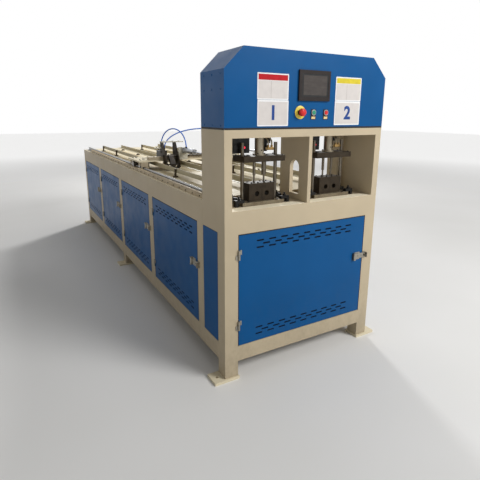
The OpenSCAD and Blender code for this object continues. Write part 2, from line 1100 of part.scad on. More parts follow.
module platen_a()
{
    color([0.24, 0.20, 0.18])
    on_machine()
    translate([station_a, 0, 0])
    platen();
}

module platen_b()
{
    color([0.24, 0.20, 0.18])
    on_machine()
    translate([station_b, 0, 0])
    platen();
}

module punches_a()
{
    color([0.62, 0.62, 0.62])
    on_machine()
    translate([station_a, 0, 0])
    {
        translate([-punch_off, 0, 0])
        punch(8);
        translate([punch_off, 0, 0])
        punch(13);
    }
}

module punches_b()
{
    color([0.62, 0.62, 0.62])
    on_machine()
    translate([station_b, 0, 0])
    for (s = [-1, 1])
    translate([s * punch_off, 0, 0])
    punch(8);
}

module ram_a()
{
    color([0.50, 0.50, 0.49])
    on_machine()
    translate([station_a, 0, 0])
    ram();
}

module ram_b()
{
    color([0.50, 0.50, 0.49])
    on_machine()
    translate([station_b, 0, 0])
    ram();
}

module oil_tank()
{
    y0 = bay_y + bay_pitch + tank_in;
    z0 = base_top + floor_t;
    color([0.30, 0.36, 0.40])
    on_machine()
    difference()
    {
        union()
        {
            block(-tank_w / 2, tank_w / 2, y0, y0 + tank_l, z0, z0 + tank_h);
            block(-tank_w / 2 - 12, tank_w / 2 + 12, y0 - 12, y0 + tank_l + 12,
                z0 + tank_h - 5, z0 + tank_h);
        }
        bar_z(tank_w / 2 - 80, y0 + tank_l - 70, 20, z0 + tank_h - 30, z0 + tank_h + 1);
    }
}

// Finned motor on the tank with its fan cover, terminal box and pump
module pump_motor()
{
    y0 = bay_y + bay_pitch + tank_in + 40;
    z0 = base_top + floor_t + tank_h;
    z = z0 + motor_r + 15;
    color([0.35, 0.42, 0.52])
    on_machine()
    {
        block(-60, 60, y0 + 40, y0 + motor_l - 20, z0, z0 + 26);
        translate([0, y0 + 40, z])
        rotate([-90, 0, 0])
        linear_extrude(height = motor_l - 40)
        {
            circle(r = motor_r - 9);
            for (i = [0:19])
            rotate(i * 18)
            translate([0, -2])
            square([motor_r, 4]);
        }
        bar_y(0, z, motor_r + 2, y0, y0 + 45);
        bar_y(0, z, motor_r - 4, y0 + motor_l - 5, y0 + motor_l + 18);
        block(-32, 32, y0 + 80, y0 + 170, z + motor_r - 20, z + motor_r + 35);
        bar_y(0, z, 45, y0 + motor_l + 17, y0 + motor_l + 90);
    }
}

module control_box()
{
    y0 = bay_y + box_in;
    z0 = base_top + floor_t;
    color([0.80, 0.79, 0.76])
    on_machine()
    {
        block(-box_w / 2, box_w / 2, y0, y0 + box_l, z0, z0 + box_h);
        block(-box_w / 2 - 16, -box_w / 2 + 1, y0 + 4, y0 + box_l - 4, z0 + 4, z0 + box_h - 4);
    }
}

module carriage_plate()
{
    color([0.68, 0.66, 0.62])
    on_machine()
    block(-carriage_half, carriage_half, carriage_y, carriage_y + carriage_len,
        plate_z, plate_z + carriage_t);
}

// End plate of a truck with its notch over the round rail
module truck_end(y)
{
    difference()
    {
        block(-rail_x - 22, web_x + 10, y, y + 12, bed_top + 8, plate_z);
        bar_y(-rail_x, rail_axis_z, rail_r + 4, y - 1, y + 13);
        block(-rail_x - rail_r - 4, -rail_x + rail_r + 4, y - 1, y + 13, bed_top, rail_axis_z);
    }
}

// One truck with end plates, inner web and riser pads, on the left side
module truck()
{
    y1 = carriage_y + carriage_len;
    truck_end(carriage_y);
    truck_end(y1 - 12);
    difference()
    {
        block(web_x, web_x + 10, carriage_y + 11, y1 - 11, bed_top + 32, plate_z);
        bar_x(pinion_y, pinion_z, shaft_r + run_gap, web_x - 1, web_x + 11);
    }
    for (y = bearing_ys)
    block(-rail_x - 22, -rail_x + 22, y - 25, y + 25, rail_axis_z + 18, plate_z);
}

bearing_ys = [carriage_y + 58, carriage_y + carriage_len - 60];

module carriage_frame()
{
    color([0.74, 0.69, 0.59])
    on_machine()
    {
        truck();
        mirror([1, 0, 0])
        truck();
        block(-half_w + 105, half_w - 105, carriage_y, carriage_y + beam_d,
            plate_z + carriage_t, plate_z + carriage_t + beam_h);
    }
}

// Open bearing block round the rail
module bearing_block(x, y)
{
    difference()
    {
        block(x - 24, x + 24, y - 25, y + 25, rail_axis_z - 11, rail_axis_z + 18);
        bar_y(x, rail_axis_z, rail_r + run_gap, y - 26, y + 26);
        block(x - 7.5, x + 7.5, y - 26, y + 26, rail_axis_z - 12, rail_axis_z);
    }
}

module bearing_blocks()
{
    color([0.60, 0.61, 0.62])
    on_machine()
    for (x = [-rail_x, rail_x], y = bearing_ys)
    bearing_block(x, y);
}

module gear_motor()
{
    x0 = web_x + 10;
    color([0.20, 0.20, 0.21])
    on_machine()
    difference()
    {
        union()
        {
            block(x0, x0 + 50, pinion_y - 30, pinion_y + 30, bed_top + 20, plate_z);
            bar_y(x0 + 25, bed_top + 46, 22, pinion_y + 29, pinion_y + 128);
            bar_y(x0 + 25, bed_top + 46, 19, pinion_y + 127, pinion_y + 150);
        }
        bar_x(pinion_y, pinion_z, shaft_r + run_gap, x0 - 1, x0 + 20);
    }
}

// Half of the angle that a tooth takes at a given radius, in degrees
function flank_angle(r) =
    let (base = pinion_r * cos(20), a = acos(min(1, base / r)))
    90 / pinion_teeth - backlash / pinion_r * 90 / PI
    + (tan(20) - 20 * PI / 180 - tan(a) + a * PI / 180) * 180 / PI;

function polar(r, a) = [r * cos(a), r * sin(a)];

// Involute outline of the pinion, one tooth pointing along X
function pinion_outline() =
    let (base = pinion_r * cos(20), tip = pinion_r + gear_add, root = pinion_r - gear_add - 0.75,
        radii = [for (i = [0:5]) base + (tip - base) * i / 5])
    [for (k = [0:pinion_teeth - 1])
        for (q = concat([polar(root, -flank_angle(base))],
            [for (r = radii) polar(r, -flank_angle(r))],
            [for (i = [0:5]) polar(radii[5 - i], flank_angle(radii[5 - i]))],
            [polar(root, flank_angle(base))]))
        let (a = k * 360 / pinion_teeth)
        [q[0] * cos(a) - q[1] * sin(a), q[0] * sin(a) + q[1] * cos(a)]];

module drive_pinion()
{
    color([0.55, 0.54, 0.52])
    on_machine()
    translate([rack_x, pinion_y, pinion_z])
    {
        translate([-pinion_w / 2, 0, 0])
        rotate([0, 90, 0])
        linear_extrude(height = pinion_w)
        polygon(pinion_outline());
        bar_x(0, 0, shaft_r, 0, web_x + 28 - rack_x);
        bar_x(0, 0, 14, pinion_w / 2 - 1, pinion_w / 2 + 12);
    }
}

// Outline of a gripper cheek, leaning over the lane in front of the beam
function cheek_outline() =
    let (y = carriage_y, z = plate_z, b = plate_z + carriage_t + beam_h)
    [[y - 97, z - 45], [y - 47, z - 45], [y, z], [y, b], [y + beam_d, b],
        [y + beam_d, z + 152], [y - 2, z + 152], [y - 97, z - 15]];

module gripper_cheeks()
{
    color([0.27, 0.24, 0.22])
    on_machine()
    at_stations()
    for (s = [0, 1])
    mirror([s, 0, 0])
    difference()
    {
        side_plate(cheek_outline(), cheek_in, cheek_out);
        bar_x(shaft_y, shaft_z, shaft_r + run_gap, cheek_in - 1, cheek_out + 1);
    }
}

module gripper_brackets()
{
    z = plate_z + 152;
    color([0.80, 0.79, 0.74])
    on_machine()
    at_stations()
    {
        block(-cheek_out - 4, cheek_out + 68, carriage_y + 4, carriage_y + beam_d - 4, z, z + 8);
        block(-cheek_out - 55, -cheek_out, carriage_y + 10, carriage_y + 50,
            plate_z + 102, plate_z + 110);
        difference()
        {
            block(cheek_out, grip_x + grip_r + 4, carriage_y - 60, carriage_y - 50,
                plate_z + 15, barrel_z + grip_r + 4);
            bar_y(grip_x, barrel_z, 12, carriage_y - 61, carriage_y - 49);
        }
    }
}

module lower_jaws()
{
    color([0.50, 0.49, 0.47])
    on_machine()
    at_stations()
    difference()
    {
        block(-cheek_in, cheek_in, jaw_y - 20, jaw_y + 20, tube_axis_z - 18, tube_axis_z - 2);
        for (s = [-1, 1])
        bar_y(s * punch_off, tube_axis_z, tube_r - 1, jaw_y - 21, jaw_y + 21);
    }
}

// Rock shaft with both upper jaws and the crank of the grip cylinder
module gripper_rocker()
{
    arm_x = barrel_x + 6.5;
    color([0.50, 0.49, 0.47])
    on_machine()
    {
        bar_x(shaft_y, shaft_z, shaft_r, station_a - cheek_out - 12, station_b + cheek_out + 12);
        side_plate([[shaft_y - 9, shaft_z], [shaft_y + 9, shaft_z], [shaft_y + 7, barrel_z + 7],
            [shaft_y - 7, barrel_z + 7]], arm_x, arm_x + 10);
        bar_x(shaft_y, shaft_z, 14, arm_x, arm_x + 10);
        bar_x(shaft_y, barrel_z, 4, barrel_x - 5, arm_x + 1);
        at_stations()
        {
            bar_x(shaft_y, shaft_z, 14, -22, 22);
            side_plate([[jaw_y - 16, tube_axis_z + 18], [jaw_y + 16, tube_axis_z + 18],
                [shaft_y + 8, shaft_z - 10], [shaft_y - 10, shaft_z + 8]], -20, 20);
            difference()
            {
                block(-cheek_in + 4, cheek_in - 4, jaw_y - 18, jaw_y + 18,
                    tube_axis_z + 3, tube_axis_z + 20);
                for (s = [-1, 1])
                bar_y(s * punch_off, tube_axis_z, tube_r - 1, jaw_y - 19, jaw_y + 19);
            }
        }
    }
}

module grip_barrel()
{
    y1 = carriage_y - 60;
    color([0.75, 0.75, 0.76])
    on_machine()
    for (x = [station_a, station_b])
    translate([x + grip_x, 0, 0])
    difference()
    {
        union()
        {
            bar_y(0, barrel_z, grip_r - 2, y1 - grip_l + 42, y1 - 20);
            block(-grip_r, grip_r, y1 - 24, y1, barrel_z - grip_r, barrel_z + grip_r);
            bar_y(0, barrel_z, grip_r, y1 - grip_l, y1 - grip_l + 43);
        }
        bar_y(0, barrel_z, 8 + run_gap, y1 - grip_l - 1, y1 + 1);
    }
}

// Through rod of a grip cylinder; the first one ends in the slotted eye of the crank
module grip_rod()
{
    y0 = carriage_y - 60 - grip_l - grip_rod_l;
    y1 = carriage_y - 44;
    color([0.85, 0.85, 0.86])
    on_machine()
    difference()
    {
        union()
        {
            for (x = [station_a, station_b])
            bar_y(x + grip_x, barrel_z, 8, y0, y1);
            block(barrel_x - 5, barrel_x + 5, y1 - 1, shaft_y + 12, barrel_z - 11, barrel_z + 11);
        }
        block(barrel_x - 6, barrel_x + 6, shaft_y - 4.35, shaft_y + 4.35,
            barrel_z - 7, barrel_z + 5);
    }
}

module carriage_valves()
{
    z0 = plate_z + carriage_t;
    x0 = -half_w + 240;
    color([0.08, 0.08, 0.08])
    on_machine()
    {
        block(x0, x0 + 60, carriage_y + 118, carriage_y + 218, z0, z0 + 63);
        for (x = [x0 + 15, x0 + 45])
        bar_z(x, carriage_y + 140, 7, z0 + 62, z0 + 78);
    }
}

// Point of a cubic curve through four control points
function curve_point(c, t) = c[0] * pow(1 - t, 3) + 3 * c[1] * t * pow(1 - t, 2)
    + 3 * c[2] * t * t * (1 - t) + c[3] * pow(t, 3);

function unit(v) = v / norm(v);

// Ring of eight points round the curve
function hose_ring(c, t) =
    let (d = unit(curve_point(c, min(1, t + 0.01)) - curve_point(c, max(0, t - 0.01))),
        u = unit(cross(d, [0.3, 0.1, 1])), v = cross(d, u), p = curve_point(c, t))
    [for (k = [0:7]) p + hose_r * (cos(k * 45) * u + sin(k * 45) * v)];

// Hose of eight sides along a curve in n steps
module hose(c, n)
{
    rings = [for (i = [0:n]) for (q = hose_ring(c, i / n)) q];
    sides = [for (i = [0:n - 1], k = [0:7])
        [i * 8 + k, i * 8 + (k + 1) % 8, (i + 1) * 8 + (k + 1) % 8, (i + 1) * 8 + k]];
    polyhedron(points = rings, faces = concat([[for (k = [0:7]) 7 - k]], sides,
        [[for (k = [0:7]) n * 8 + k]]));
}

module air_hose(i)
{
    x0 = -half_w + 255 + i * 30;
    z0 = plate_z + carriage_t + 78 + hose_gap;
    xe = (i == 0 ? station_a : station_b) + grip_x;
    ye = carriage_y - 100 - i * 60;
    color([0.24, 0.43, 0.78])
    on_machine()
    hose([[x0, carriage_y + 140, z0], [x0, carriage_y + 140, z0 + 225],
        [xe, ye, z0 + 225], [xe, ye, barrel_z + grip_r - 2 + hose_gap]], 24);
}

module air_hose_a()
{
    air_hose(0);
}

module air_hose_b()
{
    air_hose(1);
}

foot_plates();
frame_posts();
side_rails();
cross_rails();
table_plate();
head_walls();
head_crown();
hood();
fixed_panels();
bed_deck();
hmi_panel();
button_collars();
door_fittings();
gear_rack();
supported_rails();
guide_angles();
guide_posts();
die_shoes();
die_blocks();
guide_pillars();
die_clamps();
clamp_studs();
cylinders();
station_valves();
oil_tank();
pump_motor();
control_box();
head_door();
head_latch();
bed_door(0);  // bed_door_1
bed_latch(0);  // bed_latch_1
bed_door(1);  // bed_door_2
bed_latch(1);  // bed_latch_2
bed_door(2);  // bed_door_3
bed_latch(2);  // bed_latch_3
bed_door(3);  // bed_door_4
bed_latch(3);  // bed_latch_4
platen_a();
punches_a();
ram_a();
platen_b();
punches_b();
ram_b();
estop_button();
start_button();
stop_button();
carriage_plate();
carriage_frame();
bearing_blocks();
gear_motor();
drive_pinion();
gripper_cheeks();
gripper_brackets();
lower_jaws();
gripper_rocker();
grip_barrel();
grip_rod();
carriage_valves();
air_hose_a();
air_hose_b();
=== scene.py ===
import math

import bmesh
import bpy
from mathutils import Matrix, Vector


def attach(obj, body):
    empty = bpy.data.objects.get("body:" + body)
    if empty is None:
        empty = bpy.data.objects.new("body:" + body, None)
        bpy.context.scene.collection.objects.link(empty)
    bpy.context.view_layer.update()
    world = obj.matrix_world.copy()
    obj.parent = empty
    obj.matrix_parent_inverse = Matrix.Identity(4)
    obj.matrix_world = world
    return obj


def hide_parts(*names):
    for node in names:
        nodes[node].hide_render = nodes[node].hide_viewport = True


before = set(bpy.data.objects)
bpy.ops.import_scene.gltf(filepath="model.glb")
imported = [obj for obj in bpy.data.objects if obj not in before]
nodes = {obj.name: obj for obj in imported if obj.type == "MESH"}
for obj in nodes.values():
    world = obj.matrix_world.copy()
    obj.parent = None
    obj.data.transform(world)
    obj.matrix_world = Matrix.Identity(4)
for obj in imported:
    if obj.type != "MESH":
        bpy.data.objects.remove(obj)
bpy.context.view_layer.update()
scene = bpy.context.scene

# Places on the machine, in millimetres from the left front corner of the head at the floor:
# x to the right, y along the bed to the back, z up

HEAD_WIDTH = 1050
HALF_WIDTH = HEAD_WIDTH / 2
HALF_LENGTH = 1983.5
STATIONS = {"a": 279.0, "b": 759.0}
STATION_Y = 131
SHOE_TOP = 970
DIE_TOP = 1067
RAILS_X = (60, 990)
PLATE_TOP = 1057
VALVE_HEIGHT = 78
CARRIAGE_Y = 1522.0
GRIP_X = 109.0
BARREL_Z = 1135.0
BARREL_RADIUS = 20
BUTTONS_X = (529.5, 613)
BUTTONS_Z = 1436
HOOD_BACK = 262

# Openings of the cabinets
HEAD_OPENING = (80, 970, 194, 825)
BAYS = 4
BAY_START, BAY_PITCH, BAY_WIDTH = 342, 910, 815
BAY_LOW, BAY_HIGH = 204, 832

UP, DOWN, FRONT, BACK = (0, 0, 1), (0, 0, -1), (0, -1, 0), (0, 1, 0)
LEFT, RIGHT = (-1, 0, 0), (1, 0, 0)


def at(x, y, z):
    """A place on the machine, turned into metres in the shared frame."""
    return Vector(((x - HALF_WIDTH) / 1000, (y - HALF_LENGTH) / 1000, z / 1000))


def bay_y(i):
    """Near edge of the opening of a bay, counted from 0 at the head."""
    return BAY_START + i * BAY_PITCH


# Camera, fitted to the edges of the head and the bed in the photograph

YAW, PITCH, ROLL = math.radians(29.635), math.radians(13.594), math.radians(-0.252)
CAMERA_PLACE = (-913.1, -1759.5, 1425.7)
PHOTO_PIXELS = 480
FOCAL_PIXELS = 412.66
SHIFT_PIXELS = -26
SENSOR = 36.0
FARTHEST = 200

forward = Vector((math.sin(YAW) * math.cos(PITCH), math.cos(YAW) * math.cos(PITCH),
                  -math.sin(PITCH)))
level = Vector((math.cos(YAW), -math.sin(YAW), 0.0))
down = forward.cross(level)
right = math.cos(ROLL) * level + math.sin(ROLL) * down
below = -math.sin(ROLL) * level + math.cos(ROLL) * down
camera_data = bpy.data.cameras.new("camera")
camera = bpy.data.objects.new("camera", camera_data)
scene.collection.objects.link(camera)
turn = Matrix((right, -below, -forward)).transposed().to_4x4()
camera.matrix_world = Matrix.Translation(at(*CAMERA_PLACE)) @ turn
camera_data.sensor_width = SENSOR
camera_data.lens = FOCAL_PIXELS / PHOTO_PIXELS * SENSOR
camera_data.shift_y = SHIFT_PIXELS / PHOTO_PIXELS
camera_data.clip_end = FARTHEST
scene.camera = camera


# Materials

def srgb(r, g, b):
    """A colour of 0 to 255 per channel as it looks on a screen, turned into a linear one."""
    out = []
    for v in (r, g, b):
        v = v / 255
        out.append(v / 12.92 if v <= 0.04045 else ((v + 0.055) / 1.055) ** 2.4)
    return (*out, 1.0)


def shade(color, factor):
    """The same colour, lighter or darker."""
    return (color[0] * factor, color[1] * factor, color[2] * factor, 1.0)


class Shader:
    """A principled material with small helpers for its texture nodes."""

    def __init__(self, name):
        self.mat = bpy.data.materials.new(name)
        self.mat.use_nodes = True
        self.tree = self.mat.node_tree
        self.bsdf = self.tree.nodes["Principled BSDF"]
        self.coord = self.tree.nodes.new("ShaderNodeTexCoord")

    def node(self, kind, **values):
        n = self.tree.nodes.new(kind)
        for key, value in values.items():
            setattr(n, key, value)
        return n

    def link(self, a, b):
        self.tree.links.new(a, b)

    def give(self, socket, value):
        """Writes a plain value on a socket of the shader."""
        self.bsdf.inputs[socket].default_value = value

    def feed(self, socket, value):
        """Links a varying value to a socket of the shader."""
        self.link(value, self.bsdf.inputs[socket])

    def noise(self, scale, detail=4.0, stretch=(1, 1, 1), rough=0.5):
        """Noise over the object's own coordinates, squeezed along the axes by the stretch."""
        m = self.node("ShaderNodeMapping")
        m.inputs["Scale"].default_value = stretch
        self.link(self.coord.outputs["Object"], m.inputs["Vector"])
        n = self.node("ShaderNodeTexNoise")
        n.inputs["Scale"].default_value = scale
        n.inputs["Detail"].default_value = detail
        n.inputs["Roughness"].default_value = rough
        self.link(m.outputs["Vector"], n.inputs["Vector"])
        return n.outputs["Fac"]

    def ramp(self, value, low, high, dark, light):
        """Colours from dark to light between two values."""
        r = self.node("ShaderNodeValToRGB")
        for e, position, color in zip(r.color_ramp.elements, (low, high), (dark, light)):
            e.position = position
            e.color = color
        self.link(value, r.inputs["Fac"])
        return r.outputs["Color"]

    def span(self, value, low, high, a=0.0, b=1.0):
        """Maps the values from low to high onto those from a to b."""
        m = self.node("ShaderNodeMapRange")
        m.inputs["From Min"].default_value = low
        m.inputs["From Max"].default_value = high
        m.inputs["To Min"].default_value = a
        m.inputs["To Max"].default_value = b
        self.link(value, m.inputs["Value"])
        return m.outputs["Result"]

    def mix(self, factor, base, color):
        """Lays a plain colour over the base by a factor."""
        m = self.node("ShaderNodeMix", data_type="RGBA")
        self.link(factor, m.inputs["Factor"])
        self.link(base, m.inputs["A"])
        m.inputs["B"].default_value = color
        return m.outputs["Result"]

    def times(self, a, b):
        m = self.node("ShaderNodeMath", operation="MULTIPLY")
        self.link(a, m.inputs[0])
        self.link(b, m.inputs[1])
        return m.outputs["Value"]

    def bump(self, value, strength, distance):
        b = self.node("ShaderNodeBump")
        b.inputs["Strength"].default_value = strength
        b.inputs["Distance"].default_value = distance
        self.link(value, b.inputs["Height"])
        self.feed("Normal", b.outputs["Normal"])

    def height(self):
        """Height above the floor in metres."""
        s = self.node("ShaderNodeSeparateXYZ")
        self.link(self.coord.outputs["Object"], s.inputs["Vector"])
        return s.outputs["Z"]


DUST = srgb(96, 84, 66)


def paint(name, color, rough, shine=0.3, dirt=0.0, scuffs=0.35, low_shade=0.25):
    """Sprayed machine paint: faint orange peel, uneven gloss, scuffs, dust specks near the floor,
    and painted shade that darkens it towards the floor.
    """
    s = Shader(name)
    cloud = s.noise(3.0, 5.0)
    base = s.ramp(cloud, 0.3, 0.7, shade(color, 0.93), shade(color, 1.05))
    rub = s.times(s.span(s.noise(38.0, 6.0, (1, 1, 2.2), 0.72), 0.66, 0.74),
                  s.span(s.noise(4.0, 3.0), 0.5, 0.62))
    scratch = s.times(rub, s.span(cloud, 0.2, 0.9, scuffs * 0.6, scuffs))
    base = s.mix(scratch, base, shade(color, 0.55))
    if dirt:
        low = s.span(s.height(), 0.0, 0.55, 1.0, 0.0)
        specks = s.span(s.noise(26.0, 7.0, (1, 1, 0.7), 0.7), 0.4, 0.8, 0.0, dirt)
        base = s.mix(s.times(low, specks), base, DUST)
    # Painted shade: a darker copy of the colour laid on towards the floor, strongest at 0.1 m and
    # gone by 0.8 m
    base = s.mix(s.span(s.height(), 0.1, 0.8, low_shade, 0.0), base, shade(color, 0.45))
    s.feed("Base Color", base)
    s.feed("Roughness", s.span(s.noise(9.0, 4.0), 0.3, 0.7, rough - 0.05, rough + 0.09))
    s.give("Specular IOR Level", shine)
    s.bump(s.noise(420.0, 2.0), 0.06, 0.0006)
    return s.mat


def metal(name, color, rough, grain_scale, grain=(1, 1, 1), stain=None, stain_amount=0.0,
          metallic=1.0, bump=0.08, shine=0.5):
    """Bare metal with a machined grain and, where it has been handled, stains of oil or rust."""
    s = Shader(name)
    lines = s.noise(grain_scale, 5.0, grain, 0.6)
    cloud = s.noise(12.0, 5.0)
    base = s.ramp(lines, 0.25, 0.75, shade(color, 0.82), shade(color, 1.12))
    if stain:
        patch = s.span(s.noise(26.0, 7.0, (1, 1, 1), 0.68), 0.45, 0.7, 0.0, stain_amount)
        base = s.mix(patch, base, stain)
    s.feed("Base Color", base)
    s.give("Metallic", metallic)
    s.give("Specular IOR Level", shine)
    s.feed("Roughness", s.span(cloud, 0.3, 0.7, rough - 0.06, rough + 0.12))
    s.bump(lines, bump, 0.0005)
    return s.mat


def plastic(name, color, rough, bump=0.05, scale=900.0, spec=0.3, coat=0.0, drift=0.09):
    """Moulded plastic or rubber with a fine grain and slight colour drift."""
    s = Shader(name)
    s.feed("Base Color", s.ramp(s.noise(40.0, 3.0), 0.3, 0.7,
                                shade(color, 1 - drift), shade(color, 1 + drift)))
    s.feed("Roughness", s.span(s.noise(25.0, 3.0), 0.3, 0.7, rough - 0.05, rough + 0.07))
    s.give("Specular IOR Level", spec)
    s.give("Coat Weight", coat)
    s.bump(s.noise(scale, 2.0), bump, 0.0004)
    return s.mat


def print_film(name, color, rough, spec=0.3, drift=0.09):
    """Printed film of the plates and bands."""
    return plastic(name, color, rough, bump=0.02, scale=500.0, spec=spec, drift=drift)


# The blue and beige paints take a little painted shade towards the floor
BLUE = paint("blue_paint", srgb(4, 80, 136), rough=0.34, shine=0.13, dirt=0.15, scuffs=0.05,
             low_shade=0.12)
BEIGE = paint("beige_paint", srgb(190, 175, 148), rough=0.45, shine=0.2, dirt=0.35, scuffs=0.3,
              low_shade=0.12)
CREAM = paint("cream_paint", srgb(238, 226, 196), rough=0.52, shine=0.12, scuffs=0.3)
GREY = paint("grey_paint", srgb(112, 122, 128), rough=0.4)
PALE = paint("pale_paint", srgb(198, 193, 176), rough=0.45)
DIE = metal("oiled_die_steel", srgb(54, 45, 33), rough=0.5, grain_scale=90.0,
            stain=srgb(28, 22, 15), stain_amount=0.7, metallic=0.3, shine=0.2)
SHOE = metal("die_shoe_steel", srgb(126, 116, 96), rough=0.42, grain_scale=60.0, grain=(8, 1, 1),
             stain=srgb(84, 64, 46), stain_amount=0.6, metallic=0.6)
BLACK = metal("black_oxide", srgb(26, 25, 24), rough=0.55, grain_scale=200.0,
              stain=srgb(16, 15, 14), stain_amount=0.6, metallic=0.2, shine=0.25)
BRIGHT = metal("ground_steel", srgb(112, 105, 94), rough=0.28, grain_scale=70.0,
               grain=(1, 1, 18), stain=srgb(84, 72, 56), stain_amount=0.45)
RAIL = metal("hardened_rail", srgb(138, 138, 138), rough=0.3, grain_scale=40.0,
             grain=(18, 1, 18), stain=srgb(96, 86, 70), stain_amount=0.3, metallic=0.9)
RACK = metal("dusty_rack", srgb(176, 160, 130), rough=0.5, grain_scale=50.0, grain=(1, 14, 1),
             stain=srgb(112, 92, 66), stain_amount=0.5, metallic=0.35)
GEAR = metal("gear_steel", srgb(132, 128, 122), rough=0.34, grain_scale=50.0, grain=(1, 14, 1),
             stain=srgb(62, 50, 38), stain_amount=0.55, metallic=0.9)
POST = metal("dark_posts", srgb(92, 78, 60), rough=0.45, grain_scale=80.0, grain=(1, 1, 10),
             stain=srgb(50, 40, 30), stain_amount=0.5, metallic=0.6)
RAM = metal("ram_steel", srgb(164, 154, 134), rough=0.36, grain_scale=60.0, grain=(1, 1, 14),
            stain=srgb(104, 92, 72), stain_amount=0.4, metallic=0.7)
CHROME = metal("chrome_rod", srgb(206, 207, 210), rough=0.12, grain_scale=60.0,
               grain=(1, 10, 1), bump=0.02)
ZINC = metal("zinc_fittings", srgb(158, 154, 144), rough=0.36, grain_scale=120.0,
             grain=(1, 1, 6), stain=srgb(134, 126, 110), stain_amount=0.35, metallic=0.9)
ALU = metal("brushed_aluminium", srgb(186, 187, 188), rough=0.3, grain_scale=90.0,
            grain=(1, 16, 1), bump=0.05)
JAW = metal("jaw_steel", srgb(64, 60, 56), rough=0.36, grain_scale=160.0,
            stain=srgb(120, 112, 100), stain_amount=0.35, metallic=0.8)
BRASS = metal("brass_fittings", srgb(168, 138, 88), rough=0.34, grain_scale=120.0,
              grain=(1, 1, 8), stain=srgb(96, 76, 48), stain_amount=0.4)
BLACK_PLASTIC = plastic("black_plastic", srgb(24, 24, 25), rough=0.42, spec=0.35)
HOUSING = plastic("housing_plastic", srgb(42, 37, 36), rough=0.55, bump=0.1, scale=700.0,
                  spec=0.15)
RED = plastic("red_plastic", srgb(205, 36, 34), rough=0.3, bump=0.02, spec=0.4)
GREEN = plastic("green_plastic", srgb(40, 140, 108), rough=0.3, bump=0.02, spec=0.4)
YELLOW = plastic("yellow_plastic", srgb(228, 206, 78), rough=0.38, spec=0.35)
HOSE = plastic("hose_blue", srgb(58, 116, 210), rough=0.28, bump=0.02, spec=0.4, coat=0.2)
WHITE = print_film("plate_white", srgb(230, 230, 230), rough=0.34, spec=0.2, drift=0.03)
FIELD = print_film("plate_field", srgb(208, 202, 198), rough=0.38, spec=0.2, drift=0.03)
FRAME_LINE = print_film("plate_lines", srgb(168, 160, 154), rough=0.38)
RED_BAND = print_film("red_band", srgb(180, 30, 38), rough=0.36, spec=0.1)
YELLOW_BAND = print_film("yellow_band", srgb(214, 194, 60), rough=0.36, spec=0.1)
NUMBER_BLUE = print_film("number_blue", srgb(16, 62, 132), rough=0.36)
LABEL = print_film("label_cream", srgb(224, 196, 140), rough=0.4)
RUBBER = plastic("rubber", srgb(24, 24, 24), rough=0.62, bump=0.12, scale=500.0)
# Near-black pads behind the vent slots: painted shade for the dark inside of the cabinets
VENT_SHADE = plastic("vent_shade_material", srgb(16, 22, 30), rough=0.9, bump=0.5, scale=700.0, spec=0.1)
GUIDE = paint("guide_paint", srgb(208, 196, 162), rough=0.42, scuffs=0.4, low_shade=0.0)
# Near-white paint of the sill strips: a painted highlight standing in for light on the table
# front and the ledge
SILL_HIGHLIGHT = paint("sill_highlight_paint", srgb(246, 236, 210), rough=0.6, shine=0.2, scuffs=0.2, low_shade=0.0)


def screen_glass():
    """A switched-off touch screen: dark, smooth, with faint wiping marks."""
    s = Shader("screen_glass")
    smear = s.noise(18.0, 5.0, (1, 1, 3), 0.6)
    s.feed("Base Color", s.ramp(smear, 0.35, 0.7, srgb(62, 56, 53), srgb(72, 66, 62)))
    s.feed("Roughness", s.span(smear, 0.3, 0.7, 0.1, 0.2))
    s.give("Specular IOR Level", 0.4)
    return s.mat


def lamp_red():
    """The lit lamp on a valve plug."""
    s = Shader("lamp_red")
    s.feed("Base Color", s.ramp(s.noise(200.0, 2.0), 0.3, 0.7,
                                srgb(240, 40, 60), srgb(255, 90, 110)))
    s.give("Emission Color", srgb(255, 40, 70))
    s.give("Emission Strength", 1.2)
    return s.mat


SCREEN = screen_glass()
LAMP = lamp_red()

SKINS = {
    "foot_plates": CREAM, "frame_posts": BEIGE, "side_rails": BEIGE, "cross_rails": BEIGE,
    "table_plate": BEIGE, "head_walls": BEIGE, "head_crown": BEIGE, "hood": BLUE,
    "fixed_panels": BLUE, "bed_deck": CREAM, "hmi_panel": HOUSING,
    "button_collars": BLACK_PLASTIC, "door_fittings": ZINC, "gear_rack": RACK,
    "supported_rails": RAIL, "guide_angles": GUIDE, "guide_posts": POST, "die_shoes": SHOE,
    "die_blocks": DIE, "guide_pillars": BRIGHT, "die_clamps": BLACK, "clamp_studs": BLACK,
    "cylinders": GREY, "station_valves": BLACK_PLASTIC, "oil_tank": GREY, "pump_motor": GREY,
    "control_box": PALE, "head_door": BLUE, "head_latch": ZINC, "platen_a": DIE,
    "platen_b": DIE, "punches_a": BRIGHT, "punches_b": BRIGHT, "ram_a": RAM, "ram_b": RAM,
    "estop_button": RED, "start_button": GREEN, "stop_button": RED, "carriage_plate": CREAM,
    "carriage_frame": BEIGE, "bearing_blocks": ALU, "gear_motor": BLACK, "drive_pinion": GEAR,
    "gripper_cheeks": DIE, "gripper_brackets": PALE, "lower_jaws": JAW, "gripper_rocker": JAW,
    "grip_barrel": ALU, "grip_rod": CHROME, "carriage_valves": BLACK_PLASTIC,
    "air_hose_a": HOSE, "air_hose_b": HOSE,
}
for i in range(1, BAYS + 1):
    SKINS["bed_door_%d" % i] = BLUE
    SKINS["bed_latch_%d" % i] = ZINC

